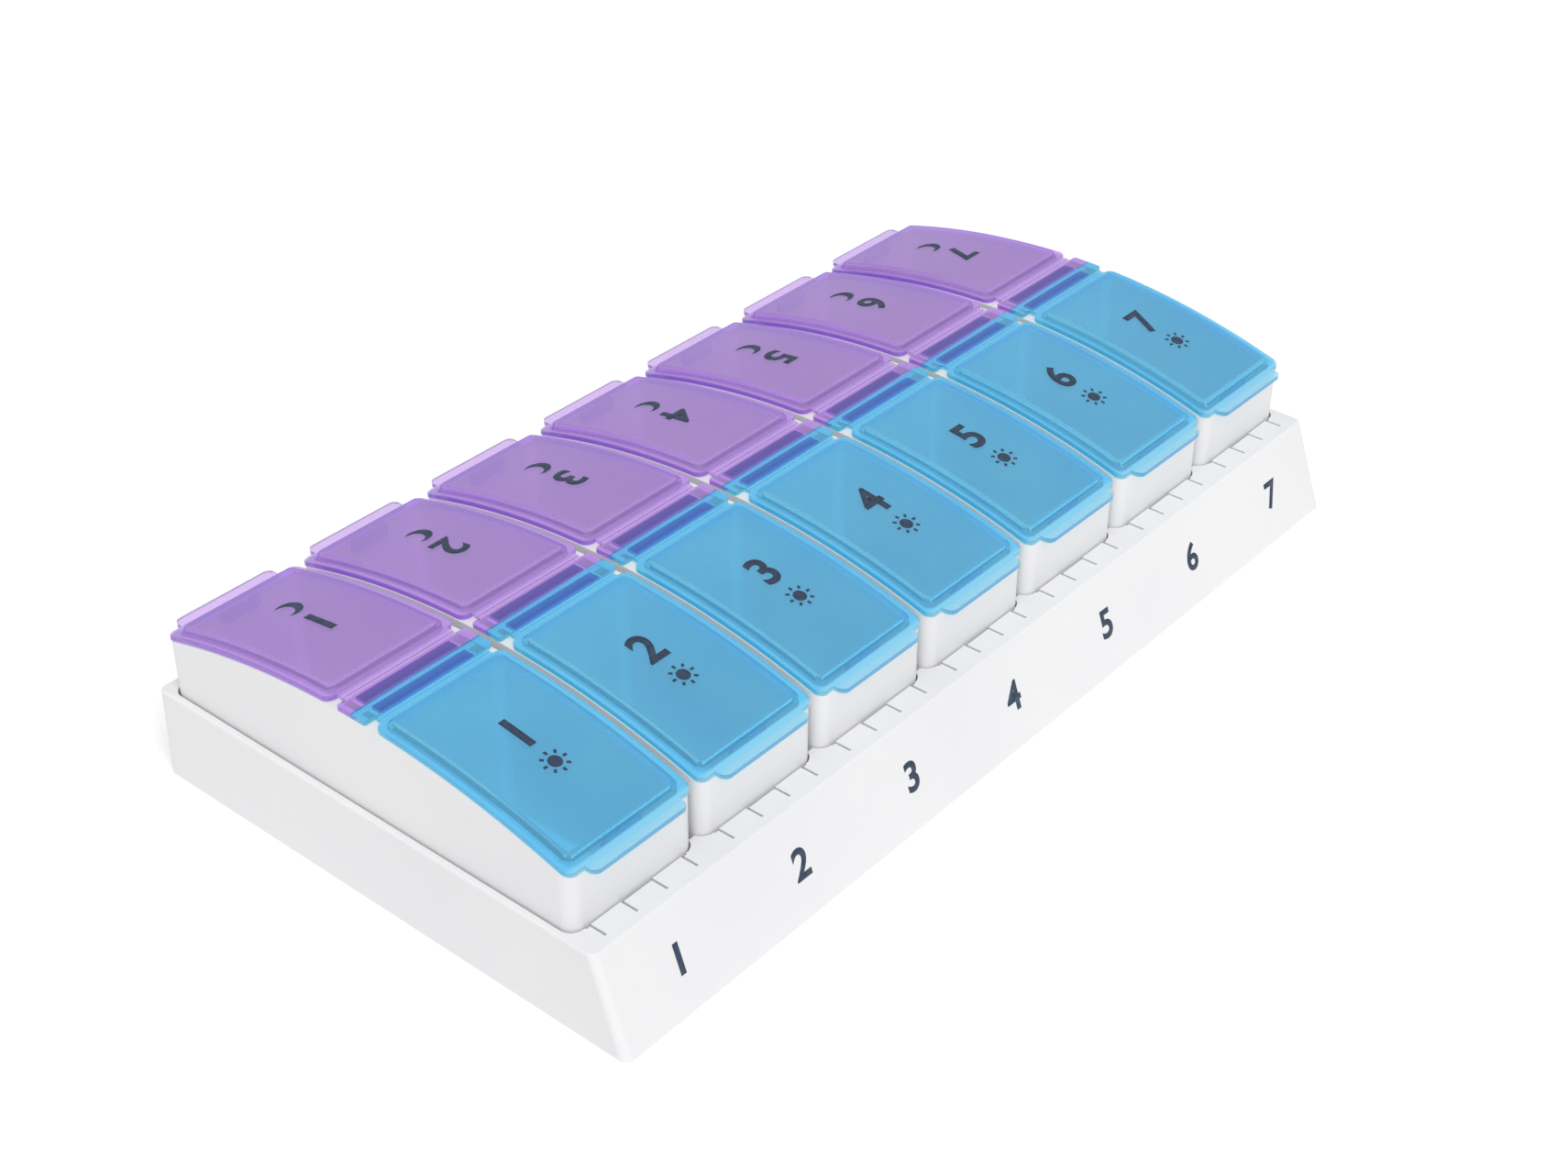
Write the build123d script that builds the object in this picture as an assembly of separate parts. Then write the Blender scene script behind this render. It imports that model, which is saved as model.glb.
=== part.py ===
from build123d import *
import os

# Weekly pill organizer: an open tray with a sloped front holds seven lift-out
# pods. Each pod has a morning box at the front and an evening box at the back,
# and each box has a domed lid that folds up on a living hinge at the middle.
# Frame: +X along the row, -Y the sloped front, +Z up, z = 0 on the table.

quarter_turn = 90

# Row of pods
pod_count = 7
pod_pitch = 31.0
pod_gap = 1.7
pod_depth = 99.6
pod_corner = 2.6
pod_wall = 1.45
pod_floor = 1.6
pod_foot_round = 0.8
box_corner = 2.0
box_scoop = 1.2

# Arch that the pod rims and the lids follow, measured at the rim
rim_top = 37.6
rim_radius = 167.0

# Slots in the top of a pod between its two boxes
slot_half = 3.3
slot_depth = 22.0
slot_rib = 1.3
slot_rib_drop = 0.5
slot_bar = 0.7
slot_cell = 1.8
centre_wall = 2.8

# Hinge strips that cap the slots, one half per lid
strip_lap = 0.16
strip_thickness = 0.95
strip_corner = 0.5

# Anchor rib under a strip, which stands in its slot
anchor_gap = 0.12
anchor_depth = 4.0

# Living hinge between strip and lid
hinge_step = 1.04
hinge_bead_radius = 0.42
hinge_clearance = 0.05
web_thickness = 0.5
web_notch = 2.05
web_lap = 0.6

# Lids
lid_seat_gap = 0.2
lid_side_setback = 0.05
lid_end_setback = 0.1
lid_hinge_step = 1.1
lid_corner = 1.8
lid_flange = 0.95
lid_edge_round = 0.25
dome_rise = 1.15
dome_side_inset = 1.45
dome_near_inset = 1.0
dome_far_inset = 1.5
dome_corner = 1.6
dome_bevel = 0.95
dome_soft = 0.3
shell = 1.0
hollow_corner = 1.0

# Thumb tab along the outer edge of a lid, and the catch under it
tab_end_inset = 3.55
tab_reach = 2.4
tab_lap = 1.2
tab_corner = 1.5
tab_thickness = 0.95
catch_half_width = 4.2
catch_gap = 0.85
catch_thickness = 1.0
catch_depth = 2.5
catch_lap = 0.3

# Tray
tray_floor = 2.0
tray_height = 18.97
tray_end_wall = 1.25
tray_end_gap = 0.35
tray_back_wall = 2.45
tray_back_gap = 0.3
tray_front_land = 5.6
tray_front_lean = 7.0
tray_draft = 0.25
tray_corner = 1.6
tray_rim_round = 0.5
tray_wall = 1.9

# Spring fingers in the front lip of the tray, two per pod
finger_gap = 0.3
finger_near = 3.56
finger_far = 10.95
lip_setback = 0.3
lip_wall = 1.6
lip_land = 1.8
slit_width = 0.5
slit_length = 3.6
slit_depth = 7.0

# Nibs of the tray that stand between the front corners of neighbouring pods
nib_half = 2.6
nib_reach = 1.6
nib_lap = 0.4

# Pod, taken about its own middle
pod_half_width = (pod_pitch - pod_gap) / 2
pod_half = pod_depth / 2
row_half = pod_pitch * (pod_count - 1) / 2 + pod_half_width
arch_z = rim_top - rim_radius
above = rim_top + slot_depth
box_half_width = pod_half_width - pod_wall
box_near = slot_half + centre_wall
box_far = pod_half - pod_wall
bar_out = box_half_width - slot_cell
bar_in = bar_out - slot_bar
straight_half = pod_half_width - pod_corner

# Strip, hinge and lid, taken about the middle of the pod
strip_half_width = slot_half + strip_lap
web_half_length = pod_half_width - web_notch
hinge_reach = strip_half_width + hinge_step
lid_radius = rim_radius + lid_seat_gap
flange_radius = lid_radius + lid_flange
dome_radius = flange_radius + dome_rise
hinge_height = arch_z + lid_radius + lid_flange / 2
lid_half_width = pod_half_width - lid_side_setback
lid_near = hinge_reach + lid_hinge_step
lid_far = pod_half - lid_end_setback
dome_half_width = lid_half_width - dome_side_inset
dome_near = lid_near + dome_near_inset
dome_far = lid_far - dome_far_inset
tab_half_width = lid_half_width - tab_end_inset
tab_far = lid_far + tab_reach
catch_far = box_far - catch_gap

# Tray, taken about the middle of the pods
lip = pod_half + finger_gap
lip_back = lip + lip_setback
tray_front_top = lip + tray_front_land
tray_front = tray_front_top + tray_front_lean
tray_back_top = pod_half + tray_back_gap + tray_back_wall
tray_back = tray_back_top + tray_draft
tray_half_length_top = row_half + tray_end_gap + tray_end_wall
tray_half_length = tray_half_length_top + tray_draft
row_y = (tray_front - tray_back) / 2


def arch(radius):
    """Round bar whose top is the arch of the given radius."""
    return Pos(0, 0, arch_z) * Cylinder(radius, pod_pitch + pod_pitch, rotation=(0, quarter_turn, 0))


def arch_height(radius, y):
    """Height of the arch at a distance y from the middle of the pod."""
    return arch_z + (radius**2 - y**2) ** 0.5


def block(x_low, x_high, y_low, y_high, z_low, z_high):
    """Plain block between two corners."""
    centre = Pos((x_low + x_high) / 2, (y_low + y_high) / 2, (z_low + z_high) / 2)
    return centre * Box(x_high - x_low, y_high - y_low, z_high - z_low)


def prism(half_x, y_low, y_high, corner, z_low, z_high):
    """Upright prism on a rounded rectangle."""
    plan = RectangleRounded(half_x + half_x, y_high - y_low, corner)
    return Pos(0, (y_low + y_high) / 2, z_low) * extrude(plan, z_high - z_low)


def bottom_edges(solid):
    """Edges of the lowest face."""
    return solid.faces().sort_by(Axis.Z)[0].edges()


def top_edges(solid):
    """Edges of the highest face."""
    return solid.faces().sort_by(Axis.Z)[-1].edges()


def make_pod():
    """White pod: two boxes with an arched rim and a slotted bridge between them."""
    body = prism(pod_half_width, -pod_half, pod_half, pod_corner, tray_floor, above)
    body = fillet(bottom_edges(body), pod_foot_round)
    body = body & arch(rim_radius)
    inside = box_half_width
    well = prism(inside, box_near, box_far, box_corner, tray_floor + pod_floor, above)
    well = fillet(bottom_edges(well), box_scoop)
    body = body - well - mirror(well, about=Plane.XZ)
    rib = slot_rib / 2
    low = rim_top - slot_depth
    for x_low, x_high in ((-inside, -bar_out), (-bar_in, bar_in), (bar_out, inside)):
        slot = block(x_low, x_high, rib, slot_half, low, above)
        body = body - slot - mirror(slot, about=Plane.XZ)
    return body - block(-inside, inside, -slot_half, slot_half, rim_top - slot_rib_drop, above)


def make_strip():
    """Rear half of the hinge strip with its anchor rib, its thin web and the groove of the hinge."""
    outer = arch(rim_radius + strip_thickness) - arch(rim_radius)
    half = pod_half_width
    plate = prism(half, -strip_half_width, strip_half_width, strip_corner, 0, above)
    plate = plate & block(-half, half, 0, strip_half_width, 0, above) & outer
    low = hinge_height - web_thickness / 2
    high = hinge_height + web_thickness / 2
    web = block(-web_half_length, web_half_length, strip_half_width - web_lap, hinge_reach, low, high)
    groove = hinge_bar(hinge_bead_radius + hinge_clearance)
    anchor_half = bar_in - anchor_gap
    anchor_low = rim_top - anchor_depth
    anchor_high = rim_top + strip_thickness / 2
    near = slot_rib / 2 + anchor_gap
    anchor = block(-anchor_half, anchor_half, near, slot_half - anchor_gap, anchor_low, anchor_high)
    return plate + anchor + (web - groove)


def hinge_bar(radius):
    """Round bar along the fold line."""
    length = web_half_length + web_half_length
    return Pos(0, hinge_reach, hinge_height) * Cylinder(radius, length, rotation=(0, quarter_turn, 0))


def make_lid():
    """Rear lid: flange, bevelled dome, thumb tab, catch and the bead of the hinge."""
    flange = prism(lid_half_width, lid_near, lid_far, lid_corner, 0, above)
    flange = flange & arch(flange_radius)
    flange = fillet(top_edges(flange), lid_edge_round)
    dome = prism(dome_half_width, dome_near, dome_far, dome_corner, 0, above)
    dome = dome & arch(dome_radius)
    dome = chamfer(top_edges(dome), dome_bevel)
    dome = fillet(top_edges(dome), dome_soft)
    lid = (flange + dome) - arch(lid_radius)
    inner = dome_half_width - shell
    hollow = prism(inner, dome_near + shell, dome_far - shell, hollow_corner, 0, above)
    lid = lid - (hollow & arch(dome_radius - shell))

    tab_low = arch_height(lid_radius, lid_far)
    tab = prism(tab_half_width, lid_far - tab_lap, tab_far, tab_corner, tab_low, tab_low + tab_thickness)
    tab = tab & block(-tab_half_width, tab_half_width, lid_far - tab_lap, tab_far, 0, above)
    tab = tab - arch(lid_radius)

    catch_top = arch_height(lid_radius, catch_far) + catch_lap
    catch_low = catch_top - catch_lap - catch_depth
    catch = block(-catch_half_width, catch_half_width, catch_far - catch_thickness, catch_far, catch_low, catch_top)

    low = hinge_height - web_thickness / 2
    high = hinge_height + web_thickness / 2
    web = block(-web_half_length, web_half_length, hinge_reach, lid_near + web_lap, low, high)
    return lid + tab + catch + web + hinge_bar(hinge_bead_radius)


def make_tray():
    """Tray: hollow sloped front, low walls, flat floor and a row of spring fingers."""
    long_low = tray_half_length + tray_half_length
    long_top = tray_half_length_top + tray_half_length_top
    low = Pos(0, (tray_back - tray_front) / 2, 0) * Rectangle(long_low, tray_back + tray_front)
    top_y = (tray_back_top - tray_front_top) / 2
    top = Pos(0, top_y, tray_height) * Rectangle(long_top, tray_back_top + tray_front_top)
    body = loft([low.face(), top.face()], ruled=True)
    posts = [e for e in body.edges() if e.bounding_box().size.Z > tray_height / 2]
    body = fillet(posts, tray_corner)
    body = fillet(top_edges(body), tray_rim_round)

    well_half = row_half + tray_end_gap
    body = body - prism(well_half, -lip, pod_half + tray_back_gap, pod_corner, tray_floor, above)

    wall_front = lip_back + lip_wall
    hollow_top = tray_height - lip_land
    lean = (tray_front - tray_front_top) * hollow_top / tray_height
    section = Polyline(
        (0, -wall_front, 0),
        (0, -(tray_front - tray_wall), 0),
        (0, -(tray_front - lean - tray_wall), hollow_top),
        (0, -wall_front, hollow_top),
        close=True,
    )
    hollow_half = tray_half_length_top - tray_wall
    wedge = extrude(make_face(section), hollow_half, dir=(1, 0, 0), both=True)
    body = body - wedge

    slit_low = tray_height - slit_depth
    spans = ((-straight_half, -finger_far), (-finger_near, finger_near), (finger_far, straight_half))
    for n in range(pod_count):
        x = pod_x(n)
        for x_low, x_high in spans:
            body = body - block(x + x_low, x + x_high, -lip_back, -lip, slit_low, above)
        for edge in (-finger_far, -finger_near, finger_near, finger_far):
            side = slit_width / 2
            body = body - block(x + edge - side, x + edge + side, -lip - slit_length, -lip, slit_low, above)

    grown_half = pod_half + finger_gap
    grown_corner = pod_corner + finger_gap
    grown = prism(pod_half_width + finger_gap, -grown_half, grown_half, grown_corner, 0, above)
    half_pitch = pod_pitch / 2
    nib_back = pod_half - nib_reach
    nib_low = tray_floor - nib_lap
    nib = block(-nib_half, nib_half, -lip - nib_lap, -nib_back, nib_low, tray_height)
    nib = nib - Pos(-half_pitch, 0, 0) * grown - Pos(half_pitch, 0, 0) * grown
    for n in range(pod_count - 1):
        body = body + Pos(pod_x(n) + half_pitch, 0, 0) * nib
    return body


def pod_x(n):
    """Middle of pod n along the row."""
    return (n - (pod_count - 1) / 2) * pod_pitch


os.makedirs("parts", exist_ok=True)

tray = Pos(0, row_y, 0) * make_tray()
export_step(tray, "parts/tray.step")

pod = make_pod()
pm_strip = make_strip()
pm_lid = make_lid()
am_strip = mirror(pm_strip, about=Plane.XZ)
am_lid = mirror(pm_lid, about=Plane.XZ)

for n in range(pod_count):
    place = Pos(pod_x(n), row_y, 0)
    number = n + 1
    export_step(place * pod, f"parts/pod_{number}.step")
    export_step(place * am_strip, f"parts/am_hinge_strip_{number}.step")
    export_step(place * pm_strip, f"parts/pm_hinge_strip_{number}.step")
    export_step(place * am_lid, f"parts/am_lid_{number}.step")
    export_step(place * pm_lid, f"parts/pm_lid_{number}.step")
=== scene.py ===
import math

import bmesh
import bpy
from mathutils import Euler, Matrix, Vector
from mathutils.bvhtree import BVHTree


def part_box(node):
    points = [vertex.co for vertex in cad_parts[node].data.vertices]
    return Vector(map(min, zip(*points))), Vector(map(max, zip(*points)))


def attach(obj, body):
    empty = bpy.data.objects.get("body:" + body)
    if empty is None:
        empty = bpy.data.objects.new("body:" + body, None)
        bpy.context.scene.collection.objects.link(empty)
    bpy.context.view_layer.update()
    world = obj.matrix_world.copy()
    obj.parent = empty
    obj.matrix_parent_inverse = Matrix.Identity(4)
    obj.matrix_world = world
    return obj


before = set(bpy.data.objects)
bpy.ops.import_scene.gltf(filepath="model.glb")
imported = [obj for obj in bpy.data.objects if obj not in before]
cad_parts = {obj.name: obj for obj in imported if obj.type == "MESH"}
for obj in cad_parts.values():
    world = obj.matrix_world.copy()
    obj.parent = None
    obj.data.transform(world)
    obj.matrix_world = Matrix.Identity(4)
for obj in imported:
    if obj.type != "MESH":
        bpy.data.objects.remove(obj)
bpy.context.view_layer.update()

bl_info = {
    "name": "Weekly pill organizer",
    "version": (1, 0, 0),
    "blender": (4, 5, 0),
    "location": "View3D > Sidebar > Organizer",
    "description": "Finishes, printed marks and studio for a seven pod, two row pill organizer",
    "category": "Object",
}

MM = 0.001
PODS = range(1, 8)
# Front row and back row: the turn of its printing, because the back row is read from behind.
ROWS = {"am": 1.0, "pm": -1.0}

# Plastics and ink: how they bend light, the shares of light that pass a lid's and a strip's face, how strongly
# the tinted plastics absorb, in 1/m, and the part of a noise's values that a drift is spread over.
PLASTIC_IOR, INK_IOR = 1.49, 1.5
LID_CLEAR, STRIP_CLEAR = 0.86, 0.91
BLUE_DENSITY, PURPLE_DENSITY = 330.0, 430.0
DRIFT_LOW, DRIFT_HIGH = 0.3, 0.7

# Printing: the numerals' extra stroke weight in text heights, the distance under which two corners of a mark
# are one, how near to a corner a cut may pass, and how far off the ink and the level shots at the tray start.
NUMERAL_BOLD = 0.026
WELD, CUT_SNAP = 0.001 * MM, 0.0005 * MM
INK_START, SHOT_START = 20 * MM, 10 * MM

# Studio: the white light all round and the backdrop, the key lamp (direction towards it, strength, apparent
# size in degrees) and the camera (place in m, turn in degrees, lens and sensor in mm).
ROOM_LIGHT, BACKDROP_LIGHT = 0.56, 1.0
KEY_TOWARDS = (-0.36, -0.46, 0.81)
KEY_LIGHT, KEY_SPREAD = 2.25, 35.0
CAMERA_PLACE = (-0.30757, -0.25458, 0.28478)
CAMERA_TURN = (55.4702, -0.398, -49.9264)
CAMERA_LENS, CAMERA_SENSOR = 56.1, 36.0


def linear(code):
    """Linear RGBA of an sRGB hex colour."""
    parts = [int(code[i:i + 2], 16) / 255 for i in (1, 3, 5)]
    return tuple(p / 12.92 if p <= 0.04045 else ((p + 0.055) / 1.055) ** 2.4 for p in parts) + (1.0,)


def length(name, text, millimetres):
    """A length property, typed in millimetres."""
    return bpy.props.FloatProperty(name=name, description=text, default=millimetres * MM, min=0.0,
                                   precision=5, unit="LENGTH")


def colour(name, text, code):
    """A colour property, typed as an sRGB hex code."""
    return bpy.props.FloatVectorProperty(name=name, description=text, default=linear(code), size=4,
                                         min=0.0, max=1.0, subtype="COLOR")


class OrganizerSizes(bpy.types.PropertyGroup):
    """Sizes of the printed marks and of the studio."""
    lid_numeral: length("Lid numeral", "Height of the numeral on a lid", 7.4)
    lid_numeral_place: length("Lid numeral place", "From the pods' middle line to the numeral's middle", 24.2)
    lid_sign: length("Lid sign", "Width of the sun or the moon on a lid", 5.2)
    lid_sign_place: length("Lid sign place", "From the pods' middle line to the sign's middle", 32.8)
    tray_numeral: length("Tray numeral", "Height of the numeral on the tray's front", 6.0)
    tray_numeral_place: length("Tray numeral place", "Up the tray's front to the numeral's middle", 10.0)
    print_height: length("Ink height", "How far the ink stands on the plastic", 0.04)
    print_sunk: length("Ink sunk", "How far the ink reaches into the plastic", 0.02)
    print_step: length("Ink step", "Spacing of the cuts that let the ink follow a curved lid", 1.0)
    dome_end: length("Dome end", "From the pods' middle line to the far end of a lid's dome", 48.5)
    # Painted light: over this width each lid's tab and far flange are painted paler than the dome, standing in
    # for the lit white seen through them and the sheen on them.
    tab_blend: length("Tab blend", "Width over which a lid turns from its dome's tint to its tab's", 0.5)
    rib_drop: length("Rib drop", "How far under the pods' tops the strips' ribs turn deep in colour", 0.2)
    floor_size: length("Floor", "Side of the studio floor", 6000.0)


class OrganizerColours(bpy.types.PropertyGroup):
    """Colours of the plastics, the ink and the studio."""
    white: colour("White", "White plastic of the pods and the tray", "#DFDFE0")
    white_shade: colour("White shade", "Darker drift of the white plastic", "#DADADC")
    blue: colour("Blue", "Colour of the front lids' faces", "#A8E3FE")
    blue_drift: colour("Blue drift", "Denser drift of the front lids' faces", "#9EDDFC")
    blue_film: colour("Blue film", "Tint of light that has passed one face of a front lid", "#D6F6FE")
    blue_depth: colour("Blue depth", "Colour of the front lids' thickness", "#0DEEFF")
    # Painted light: the front tabs' paler tone stands in for the lit white seen through them and the sheen on
    # them.
    blue_tab: colour("Blue tab", "Paler colour of the front lids' tabs", "#C8ECFC")
    blue_rib: colour("Blue rib", "Deep colour of the ribs under the front strips", "#5592F0")
    purple: colour("Purple", "Colour of the back lids' faces", "#F5EAFC")
    purple_drift: colour("Purple drift", "Denser drift of the back lids' faces", "#F1E4FA")
    purple_film: colour("Purple film", "Tint of light that has passed one face of a back lid", "#FAF5FE")
    purple_depth: colour("Purple depth", "Colour of the back lids' thickness", "#C40AF9")
    # Painted light: the back tabs' paler tone stands in for the lit white seen through them and the sheen on
    # them.
    purple_tab: colour("Purple tab", "Paler colour of the back lids' tabs", "#F3EAF8")
    purple_rib: colour("Purple rib", "Deep colour of the ribs under the back strips", "#8E20E0")
    # Painted light: the tabs' paler film lets more light through to what lies under them.
    tab_film: colour("Tab film", "Tint of light that has passed one face of a tab", "#F1FAFF")
    ink: colour("Ink", "Printed numerals and signs", "#26344A")
    ink_worn: colour("Worn ink", "Thin places of the ink", "#33435A")
    floor: colour("Floor", "Studio floor", "#FAFAFA")
    floor_shade: colour("Floor shade", "Darker drift of the floor", "#F6F6F7")


def add(tree, kind, inputs=None, **settings):
    """Adds a node with its settings; an input that is a socket is linked, and anything else is its value."""
    node = tree.nodes.new(kind)
    for key, value in settings.items():
        setattr(node, key, value)
    for key, value in (inputs or {}).items():
        if isinstance(value, bpy.types.NodeSocket):
            tree.links.new(value, node.inputs[key])
        else:
            node.inputs[key].default_value = value
    return node


def drifting_plastic(name, light, dark, rough, drift_mm, grit_mm, grit_depth_mm, **shader):
    """A moulded plastic whose colour and gloss drift slowly, with a fine grit in its surface."""
    material = bpy.data.materials.new(name)
    material.use_nodes = True
    tree = material.node_tree
    tree.nodes.clear()
    place = add(tree, "ShaderNodeTexCoord").outputs["Object"]
    drift = add(tree, "ShaderNodeTexNoise", {"Vector": place, "Scale": 1 / (drift_mm * MM), "Detail": 3.0})
    ramp = add(tree, "ShaderNodeValToRGB", {"Fac": drift.outputs["Fac"]})
    for stop, place_in_noise, tone in zip(ramp.color_ramp.elements, (DRIFT_LOW, DRIFT_HIGH), (dark, light)):
        stop.position, stop.color = place_in_noise, tone
    gloss = add(tree, "ShaderNodeMapRange", {"Value": drift.outputs["Fac"], "From Min": DRIFT_LOW,
                                             "From Max": DRIFT_HIGH, "To Min": rough[0], "To Max": rough[1]})
    grit = add(tree, "ShaderNodeTexNoise", {"Vector": place, "Scale": 1 / (grit_mm * MM), "Detail": 2.0})
    bump = add(tree, "ShaderNodeBump", {"Height": grit.outputs["Fac"], "Strength": 1.0,
                                        "Distance": grit_depth_mm * MM})
    sockets = {"Base Color": ramp.outputs["Color"], "Roughness": gloss.outputs["Result"],
               "Normal": bump.outputs["Normal"], **shader}
    face = add(tree, "ShaderNodeBsdfPrincipled", sockets, name="Face").outputs["BSDF"]
    add(tree, "ShaderNodeOutputMaterial", {"Surface": face}, name="Output")
    return material


def clear_plastic(name, light, dark, film, depth, density):
    """A drifting plastic that is see-through and tinted.

    film is the tint that one face lays on the light that shines through it, and depth and density, in 1/m,
    are the colour of the plastic's thickness.
    """
    material = drifting_plastic(name, light, dark, rough=(0.02, 0.05), drift_mm=18.0, grit_mm=6.0,
                                grit_depth_mm=0.0015,
                                **{"Transmission Weight": LID_CLEAR, "IOR": PLASTIC_IOR})
    tree = material.node_tree
    # Light on its way to the boxes, and light that a face has thrown back, passes straight through the thin
    # walls and takes their tint.
    ray = add(tree, "ShaderNodeLightPath").outputs
    through = add(tree, "ShaderNodeBsdfTransparent", {"Color": film}, name="Film").outputs["BSDF"]
    wall = tree.nodes["Face"].outputs["BSDF"]
    for kind in ("Is Shadow Ray", "Is Reflection Ray"):
        wall = add(tree, "ShaderNodeMixShader", {0: ray[kind], 1: wall, 2: through}).outputs["Shader"]
    inside = add(tree, "ShaderNodeVolumeAbsorption", {"Color": depth, "Density": density})
    tree.links.new(wall, tree.nodes["Output"].inputs["Surface"])
    tree.links.new(inside.outputs["Volume"], tree.nodes["Output"].inputs["Volume"])
    return material


def recolour(tree, zone, node, socket, tone):
    """Turns a node's colour to another tone where zone is 1."""
    target = tree.nodes[node].inputs[socket]
    source = target.links[0].from_socket if target.is_linked else target.default_value
    both = add(tree, "ShaderNodeMix", {"Factor": zone, 6: source, 7: tone}, data_type="RGBA")
    tree.links.new(both.outputs[2], target)


def pale_tab(material, tone, film, sizes):
    """Paints the tab and the far flange of every lid paler than its dome: painted light, standing in for the
    lit white seen through them and the sheen on them.
    """
    tree = material.node_tree
    low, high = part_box("pod_1")
    middle = (low.y + high.y) / 2
    place = add(tree, "ShaderNodeTexCoord").outputs["Object"]
    along = add(tree, "ShaderNodeSeparateXYZ", {"Vector": place}).outputs["Y"]
    shift = add(tree, "ShaderNodeMath", {0: along, 1: middle}, operation="SUBTRACT").outputs["Value"]
    away = add(tree, "ShaderNodeMath", {0: shift}, operation="ABSOLUTE").outputs["Value"]
    zone = add(tree, "ShaderNodeMapRange", {"Value": away, "From Min": sizes.dome_end,
                                            "From Max": sizes.dome_end + sizes.tab_blend}).outputs["Result"]
    # Painted light: the paler tone and the paler film stand in for the brighter light seen through and off the
    # tab and far flange.
    recolour(tree, zone, "Face", "Base Color", tone)
    recolour(tree, zone, "Film", "Color", film)


def deep_rib(material, tone, sizes):
    """Makes the rib under every strip dense, as its tint is over its depth, and leaves the plate clear."""
    tree = material.node_tree
    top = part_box("pod_1")[1].z - sizes.rib_drop
    place = add(tree, "ShaderNodeTexCoord").outputs["Object"]
    height = add(tree, "ShaderNodeSeparateXYZ", {"Vector": place}).outputs["Z"]
    zone = add(tree, "ShaderNodeMath", {0: height, 1: top}, operation="LESS_THAN").outputs["Value"]
    recolour(tree, zone, "Face", "Base Color", tone)
    clear = add(tree, "ShaderNodeMapRange", {"Value": zone, "To Min": STRIP_CLEAR, "To Max": 0.0})
    tree.links.new(clear.outputs["Result"], tree.nodes["Face"].inputs["Transmission Weight"])


def dress(node, material):
    """Gives a CAD node its finish."""
    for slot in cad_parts[node].material_slots:
        slot.material = material


class ORGANIZER_OT_white_plastic(bpy.types.Operator):
    """Finish the tray and the seven pods in white moulded plastic"""
    bl_idname = "organizer.white_plastic"
    bl_label = "White plastic"

    def execute(self, context):
        tones = context.scene.organizer_colours
        # Injection moulded polypropylene off a spark eroded mould: satin, faintly cloudy, with a grit
        # of about 0.2 mm that is drawn up to three times as coarse, so that it shows.
        pod = drifting_plastic("polypropylene_white_satin_moulded", tones.white, tones.white_shade,
                               rough=(0.36, 0.44), drift_mm=40.0, grit_mm=0.5, grit_depth_mm=0.004,
                               IOR=PLASTIC_IOR)
        tray = drifting_plastic("polypropylene_white_fine_texture_moulded", tones.white, tones.white_shade,
                                rough=(0.42, 0.5), drift_mm=55.0, grit_mm=0.6, grit_depth_mm=0.006,
                                IOR=PLASTIC_IOR)
        dress("tray", tray)
        for n in PODS:
            dress(f"pod_{n}", pod)
        return {"FINISHED"}


class ORGANIZER_OT_clear_plastic(bpy.types.Operator):
    """Finish the lids and the hinge strips in tinted clear plastic"""
    bl_idname = "organizer.clear_plastic"
    bl_label = "Tinted clear plastic"

    def execute(self, context):
        sizes, tones = context.scene.organizer_sizes, context.scene.organizer_colours
        # Clarified polypropylene off a polished mould: glossy and see-through with a slight haze, deeper
        # in colour along the edges, where the eye looks through more of it, with faint long waves.
        blue = tones.blue, tones.blue_drift, tones.blue_film, tones.blue_depth, BLUE_DENSITY
        purple = tones.purple, tones.purple_drift, tones.purple_film, tones.purple_depth, PURPLE_DENSITY
        for row, name, tint, tab, rib in (("am", "blue", blue, tones.blue_tab, tones.blue_rib),
                                          ("pm", "purple", purple, tones.purple_tab, tones.purple_rib)):
            lid = clear_plastic(f"polypropylene_clarified_{name}_moulded", *tint)
            # Painted light: each lid's tab and far flange are painted paler than its dome, standing in for the
            # lit white seen through them and the sheen on them.
            pale_tab(lid, tab, tones.tab_film, sizes)
            strip = clear_plastic(f"polypropylene_clarified_{name}_ribbed_moulded", *tint)
            deep_rib(strip, rib, sizes)
            for n in PODS:
                dress(f"{row}_lid_{n}", lid)
                dress(f"{row}_hinge_strip_{n}", strip)
        return {"FINISHED"}


def printing_ink(tones):
    """The one ink of all marks: screen printed navy, matt and slightly uneven, as thin ink on plastic is."""
    found = bpy.data.materials.get("screen_print_ink_navy")
    return found or drifting_plastic("screen_print_ink_navy", tones.ink, tones.ink_worn, rough=(0.5, 0.62),
                                     drift_mm=1.2, grit_mm=0.3, grit_depth_mm=0.004, IOR=INK_IOR)


def flat_numeral(text, height):
    """A numeral as a flat mesh of that height, about its own middle."""
    curve = bpy.data.curves.new("numeral", "FONT")
    curve.body, curve.fill_mode, curve.offset, curve.resolution_u = text, "FRONT", NUMERAL_BOLD, 8
    holder = bpy.data.objects.new("numeral", curve)
    bpy.context.scene.collection.objects.link(holder)
    bpy.context.view_layer.update()
    mesh = bpy.data.meshes.new_from_object(holder.evaluated_get(bpy.context.evaluated_depsgraph_get()))
    bpy.data.objects.remove(holder)
    bpy.data.curves.remove(curve)
    spots = [v.co.copy() for v in mesh.vertices]
    low = Vector((min(p.x for p in spots), min(p.y for p in spots), 0.0))
    high = Vector((max(p.x for p in spots), max(p.y for p in spots), 0.0))
    for v in mesh.vertices:
        v.co = (v.co - (low + high) / 2) * (height / (high.y - low.y))
    return mesh


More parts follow.
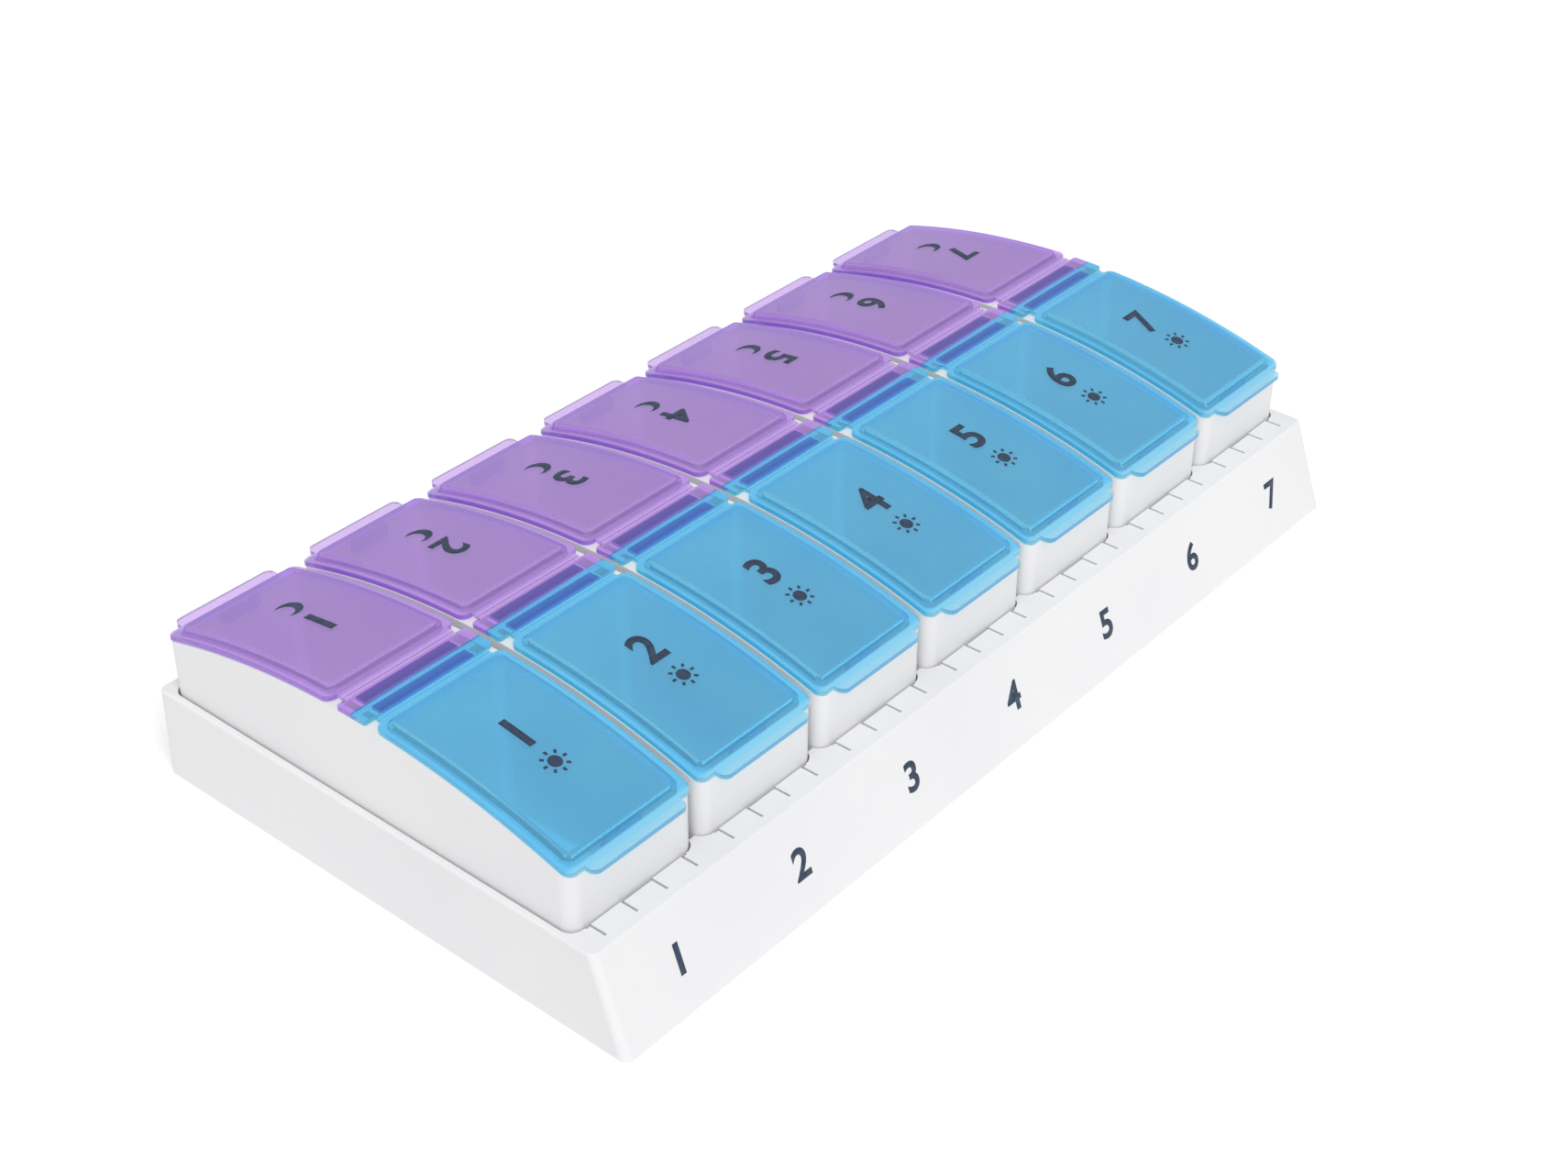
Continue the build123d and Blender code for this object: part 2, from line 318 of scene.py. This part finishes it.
def sun_tree():
    """Geometry Nodes for the sun sign: a disc in a ring of rays."""
    tree = bpy.data.node_groups.new("sun_sign", "GeometryNodeTree")
    tree.is_modifier = True
    for name, kind in (("Disc Radius", "NodeSocketFloat"), ("Ray Count", "NodeSocketInt"),
                       ("Ray Middle", "NodeSocketFloat"), ("Ray Length", "NodeSocketFloat"),
                       ("Ray Width", "NodeSocketFloat"), ("Ink", "NodeSocketMaterial")):
        tree.interface.new_socket(name, in_out="INPUT", socket_type=kind)
    tree.interface.new_socket("Mesh", in_out="OUTPUT", socket_type="NodeSocketGeometry")
    given = add(tree, "NodeGroupInput").outputs
    disc = add(tree, "GeometryNodeMeshCircle", {"Vertices": 40, "Radius": given["Disc Radius"]},
               fill_type="NGON")
    ring = add(tree, "GeometryNodeMeshCircle", {"Vertices": given["Ray Count"], "Radius": given["Ray Middle"]})
    ray = add(tree, "GeometryNodeMeshGrid", {"Size X": given["Ray Length"], "Size Y": given["Ray Width"],
                                             "Vertices X": 2, "Vertices Y": 2})
    outward = add(tree, "FunctionNodeAlignRotationToVector",
                  {"Vector": add(tree, "GeometryNodeInputPosition").outputs["Position"]}, axis="X")
    rays = add(tree, "GeometryNodeInstanceOnPoints",
               {"Points": ring.outputs["Mesh"], "Instance": ray.outputs["Mesh"],
                "Rotation": outward.outputs["Rotation"]})
    both = add(tree, "GeometryNodeJoinGeometry", {"Geometry": disc.outputs["Mesh"]})
    tree.links.new(rays.outputs["Instances"], both.inputs["Geometry"])
    real = add(tree, "GeometryNodeRealizeInstances", {"Geometry": both.outputs["Geometry"]})
    inked = add(tree, "GeometryNodeSetMaterial",
                {"Geometry": real.outputs["Geometry"], "Material": given["Ink"]})
    add(tree, "NodeGroupOutput", {"Mesh": inked.outputs["Geometry"]})
    return tree


def flat_sun(width, ink):
    """The sun sign as a flat mesh of that width, about its own middle."""
    tree = sun_tree()
    holder = bpy.data.objects.new("sun", bpy.data.meshes.new("sun"))
    bpy.context.scene.collection.objects.link(holder)
    modifier = holder.modifiers.new("sun", "NODES")
    modifier.node_group = tree
    wanted = {"Disc Radius": width * 0.25, "Ray Count": 8, "Ray Middle": width * 0.425,
              "Ray Length": width * 0.15, "Ray Width": width * 0.1, "Ink": ink}
    for item in tree.interface.items_tree:
        if item.in_out == "INPUT":
            modifier[item.identifier] = wanted[item.name]
    bpy.context.view_layer.update()
    mesh = bpy.data.meshes.new_from_object(holder.evaluated_get(bpy.context.evaluated_depsgraph_get()))
    holder.modifiers.remove(modifier)
    bpy.data.objects.remove(holder)
    return mesh


def flat_moon(width):
    """A crescent as a flat mesh of that width, about its own middle: a disc less a smaller disc."""
    radius, bite, shift, steps = width * 0.5, width * 0.41, width * 0.24, 28
    # Where the two circles cross, seen from each circle's own middle.
    cross_x = (radius ** 2 - bite ** 2 + shift ** 2) / (2 * shift)
    outer = math.atan2(math.sqrt(radius ** 2 - cross_x ** 2), cross_x)
    inner = math.atan2(math.sqrt(radius ** 2 - cross_x ** 2), cross_x - shift)
    work = bmesh.new()
    rim, cut = [], []
    for k in range(steps + 1):
        a = outer + (2 * math.pi - 2 * outer) * k / steps
        b = inner + (2 * math.pi - 2 * inner) * k / steps
        rim.append(Vector((radius * math.cos(a), radius * math.sin(a), 0.0)))
        cut.append(Vector((shift + bite * math.cos(b), bite * math.sin(b), 0.0)))
    rim_points = [work.verts.new(p) for p in rim]
    cut_points = [rim_points[0]] + [work.verts.new(p) for p in cut[1:-1]] + [rim_points[-1]]
    for k in range(steps):
        corners = [rim_points[k], rim_points[k + 1], cut_points[k + 1], cut_points[k]]
        work.faces.new([c for i, c in enumerate(corners) if c not in corners[:i]])
    mesh = bpy.data.meshes.new("moon")
    work.to_mesh(mesh)
    work.free()
    return mesh


def surface_of(node):
    """The CAD node's surface, for laying ink on it."""
    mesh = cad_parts[node].data
    corners = [v.co.copy() for v in mesh.vertices]
    return BVHTree.FromPolygons(corners, [tuple(p.vertices) for p in mesh.polygons])


def lay_ink(name, body, flats, surface, origin, right, up, sizes, ink):
    """Lays flat marks on a surface as one thin closed piece that rides on a body.

    flats are pairs of a flat mesh and its shift up the mark; origin, right and up span the plane
    that the mark is drawn in, and the ink drops from it onto the surface.
    """
    out = right.cross(up).normalized()
    work = bmesh.new()
    for mesh, shift in flats:
        part = bmesh.new()
        part.from_mesh(mesh)
        bmesh.ops.remove_doubles(part, verts=part.verts, dist=WELD)
        bmesh.ops.translate(part, verts=part.verts, vec=(0.0, shift, 0.0))
        spread = [v.co.y for v in part.verts]
        cuts = int((max(spread) - min(spread)) / sizes.print_step)
        for k in range(1, cuts + 1):
            bmesh.ops.bisect_plane(part, geom=part.verts[:] + part.edges[:] + part.faces[:], dist=CUT_SNAP,
                                   plane_co=(0.0, min(spread) + k * sizes.print_step, 0.0),
                                   plane_no=(0.0, 1.0, 0.0))
        grown = bmesh.ops.extrude_face_region(part, geom=part.faces[:], use_keep_orig=True)
        lifted = [g for g in grown["geom"] if isinstance(g, bmesh.types.BMVert)]
        bmesh.ops.translate(part, verts=lifted, vec=(0.0, 0.0, 1.0))
        bmesh.ops.recalc_face_normals(part, faces=part.faces)
        flat = bpy.data.meshes.new(name)
        part.to_mesh(flat)
        part.free()
        work.from_mesh(flat)
        bpy.data.meshes.remove(flat)
    for v in work.verts:
        start = origin + right * v.co.x + up * v.co.y
        spot = surface.ray_cast(start + out * INK_START, -out)[0]
        if spot is None:
            raise RuntimeError(f"{name}: the mark misses the surface")
        v.co = spot + out * (sizes.print_height if v.co.z > 0.5 else -sizes.print_sunk)
    mesh = bpy.data.meshes.new(name)
    work.to_mesh(mesh)
    work.free()
    mesh.materials.clear()
    mesh.materials.append(ink)
    piece = bpy.data.objects.new(name, mesh)
    bpy.context.scene.collection.objects.link(piece)
    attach(piece, body)
    return piece


class ORGANIZER_OT_lid_print(bpy.types.Operator):
    """Print a numeral and a sun or a moon on each lid"""
    bl_idname = "organizer.lid_print"
    bl_label = "Lid print"

    def execute(self, context):
        sizes = context.scene.organizer_sizes
        ink = printing_ink(context.scene.organizer_colours)
        signs = {"am": flat_sun(sizes.lid_sign, ink), "pm": flat_moon(sizes.lid_sign)}
        for n in PODS:
            low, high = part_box(f"pod_{n}")
            numeral = flat_numeral(str(n), sizes.lid_numeral)
            for row, turn in ROWS.items():
                lid = f"{row}_lid_{n}"
                middle = Vector(((low.x + high.x) / 2, (low.y + high.y) / 2, high.z))
                marks = [(numeral, -sizes.lid_numeral_place), (signs[row], -sizes.lid_sign_place)]
                lay_ink(f"{lid}_print", lid, marks, surface_of(lid), middle, Vector((turn, 0.0, 0.0)),
                        Vector((0.0, turn, 0.0)), sizes, ink)
        return {"FINISHED"}


class ORGANIZER_OT_tray_print(bpy.types.Operator):
    """Print the seven numerals along the tray's sloping front"""
    bl_idname = "organizer.tray_print"
    bl_label = "Tray print"

    def execute(self, context):
        sizes = context.scene.organizer_sizes
        ink = printing_ink(context.scene.organizer_colours)
        surface = surface_of("tray")
        low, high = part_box("tray")
        # The front's slope, from two level shots at it.
        level = (low.z + high.z) / 2
        reach = (high.z - low.z) / 4
        shots = (Vector((0.0, low.y - SHOT_START, level + step)) for step in (-reach, reach))
        below, above = (surface.ray_cast(shot, Vector((0.0, 1.0, 0.0)))[0] for shot in shots)
        up = (above - below).normalized()
        foot = below - up * ((below.z - low.z) / up.z)
        for n in PODS:
            pod_low, pod_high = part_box(f"pod_{n}")
            origin = Vector(((pod_low.x + pod_high.x) / 2, foot.y, foot.z))
            marks = [(flat_numeral(str(n), sizes.tray_numeral), sizes.tray_numeral_place)]
            lay_ink(f"tray_print_{n}", "tray", marks, surface, origin, Vector((1.0, 0.0, 0.0)), up,
                    sizes, ink)
        return {"FINISHED"}


class ORGANIZER_OT_stage(bpy.types.Operator):
    """Lay the floor, light the studio and set the camera"""
    bl_idname = "organizer.stage"
    bl_label = "Studio"

    def execute(self, context):
        scene = context.scene
        sizes, tones = scene.organizer_sizes, scene.organizer_colours
        half = sizes.floor_size / 2
        mesh = bpy.data.meshes.new("studio_floor")
        corners = [(-half, -half, 0.0), (half, -half, 0.0), (half, half, 0.0), (-half, half, 0.0)]
        mesh.from_pydata(corners, [], [(0, 1, 2, 3)])
        # Matt painted board: white, with only a slow drift of tone.
        board = drifting_plastic("painted_board_white", tones.floor, tones.floor_shade, rough=(0.8, 0.9),
                                 drift_mm=400.0, grit_mm=2.0, grit_depth_mm=0.01)
        mesh.materials.append(board)
        floor = bpy.data.objects.new("studio_floor", mesh)
        scene.collection.objects.link(floor)

        world = bpy.data.worlds.new("studio_white")
        scene.world = world
        world.use_nodes = True
        tree = world.node_tree
        tree.nodes.clear()
        # Even white light from all round, and past the floor's edge a backdrop as white as the floor.
        seen = add(tree, "ShaderNodeLightPath").outputs["Is Camera Ray"]
        glow = add(tree, "ShaderNodeMapRange", {"Value": seen, "To Min": ROOM_LIGHT, "To Max": BACKDROP_LIGHT})
        sky = add(tree, "ShaderNodeBackground",
                  {"Color": (1.0, 1.0, 1.0, 1.0), "Strength": glow.outputs["Result"]})
        add(tree, "ShaderNodeOutputWorld", {"Surface": sky.outputs["Background"]})
        # One far, wide soft box above the photo view's left shoulder, so that the floor is evenly white. It
        # lights the matt white and shows no hot disc in the gloss.
        lamp = bpy.data.lights.new("key_soft_box", "SUN")
        lamp.energy, lamp.angle = KEY_LIGHT, math.radians(KEY_SPREAD)
        holder = bpy.data.objects.new("key_soft_box", lamp)
        holder.location = KEY_TOWARDS
        holder.rotation_euler = holder.location.to_track_quat("Z", "Y").to_euler()
        holder.visible_glossy = holder.visible_transmission = False
        scene.collection.objects.link(holder)

        view = bpy.data.cameras.new("photo_view")
        view.sensor_width, view.lens = CAMERA_SENSOR, CAMERA_LENS
        camera = bpy.data.objects.new("photo_view", view)
        camera.location = CAMERA_PLACE
        camera.rotation_euler = Euler([math.radians(a) for a in CAMERA_TURN], "XYZ")
        scene.collection.objects.link(camera)
        scene.camera = camera
        scene.view_settings.view_transform = "Standard"
        return {"FINISHED"}


class ORGANIZER_PT_panel(bpy.types.Panel):
    """Sizes, colours and steps of the organizer"""
    bl_idname = "ORGANIZER_PT_panel"
    bl_label = "Pill organizer"
    bl_space_type = "VIEW_3D"
    bl_region_type = "UI"
    bl_category = "Organizer"

    def draw(self, context):
        for step in STEPS:
            self.layout.operator(step.bl_idname)
        for group in (context.scene.organizer_sizes, context.scene.organizer_colours):
            column = self.layout.column()
            for key in group.__annotations__:
                column.prop(group, key)


STEPS = (ORGANIZER_OT_white_plastic, ORGANIZER_OT_clear_plastic, ORGANIZER_OT_lid_print,
         ORGANIZER_OT_tray_print, ORGANIZER_OT_stage)
CLASSES = (OrganizerSizes, OrganizerColours) + STEPS + (ORGANIZER_PT_panel,)


def register():
    for kind in CLASSES:
        bpy.utils.register_class(kind)
    bpy.types.Scene.organizer_sizes = bpy.props.PointerProperty(type=OrganizerSizes)
    bpy.types.Scene.organizer_colours = bpy.props.PointerProperty(type=OrganizerColours)


def unregister():
    del bpy.types.Scene.organizer_colours
    del bpy.types.Scene.organizer_sizes
    for kind in reversed(CLASSES):
        bpy.utils.unregister_class(kind)


def main():
    register()
    bpy.ops.organizer.white_plastic()
    bpy.ops.organizer.clear_plastic()
    bpy.ops.organizer.lid_print()
    bpy.ops.organizer.tray_print()
    bpy.ops.organizer.stage()


if __name__ == "__main__":
    main()
